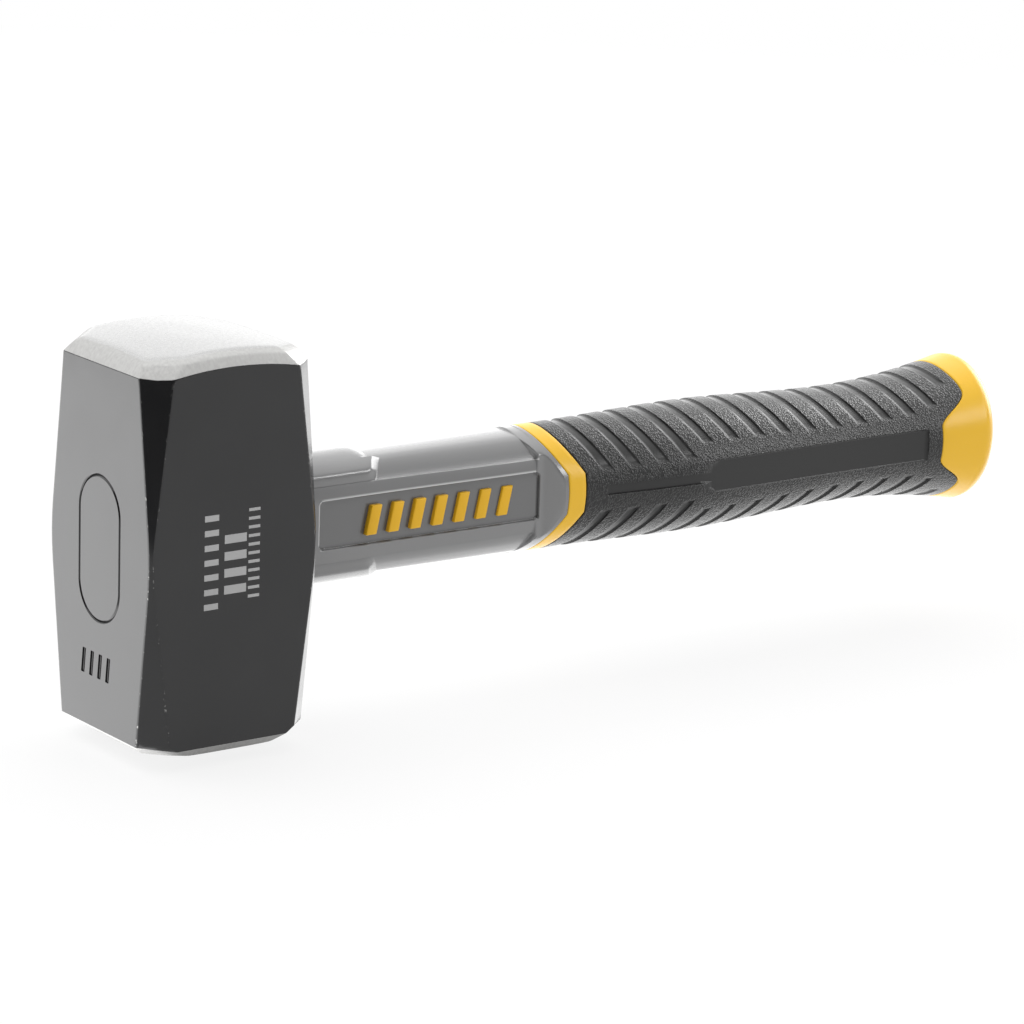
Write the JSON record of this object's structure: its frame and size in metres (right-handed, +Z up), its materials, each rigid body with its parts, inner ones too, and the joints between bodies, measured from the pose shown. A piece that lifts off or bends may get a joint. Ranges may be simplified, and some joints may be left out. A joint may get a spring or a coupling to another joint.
{
  "type": "club hammer",
  "caption": "Short heavy hammer with a square forged head, chamfered corners, domed striking faces, and a moulded handle with a slotted rubber grip and flared butt.",
  "frame": {"origin": "middle of the flat pad on the lower striking face", "axes": "+Z up through the head to the upper striking face, +X along the handle to its butt, +Y across the head to the far cheek"},
  "size_m": [0.2546, 0.0442, 0.0958],
  "materials": {
    "head": "gloss black lacquer with bright ground faces",
    "eye_plug": "gloss black lacquer",
    "eye_resin": "cast resin",
    "core_rod": "pultruded glass fibre",
    "neck_shell": "satin grey moulding",
    "handle_shell": "satin yellow moulding",
    "grip": "textured black rubber with smooth slots"
  },
  "bodies": {
    "root": {"head": "head", "eye_plug": "eye_plug", "eye_resin": "eye_resin", "core_rod": "core_rod", "neck_shell": "neck_shell", "handle_shell": "handle_shell", "grip": "grip"}
  },
  "joints": []
}
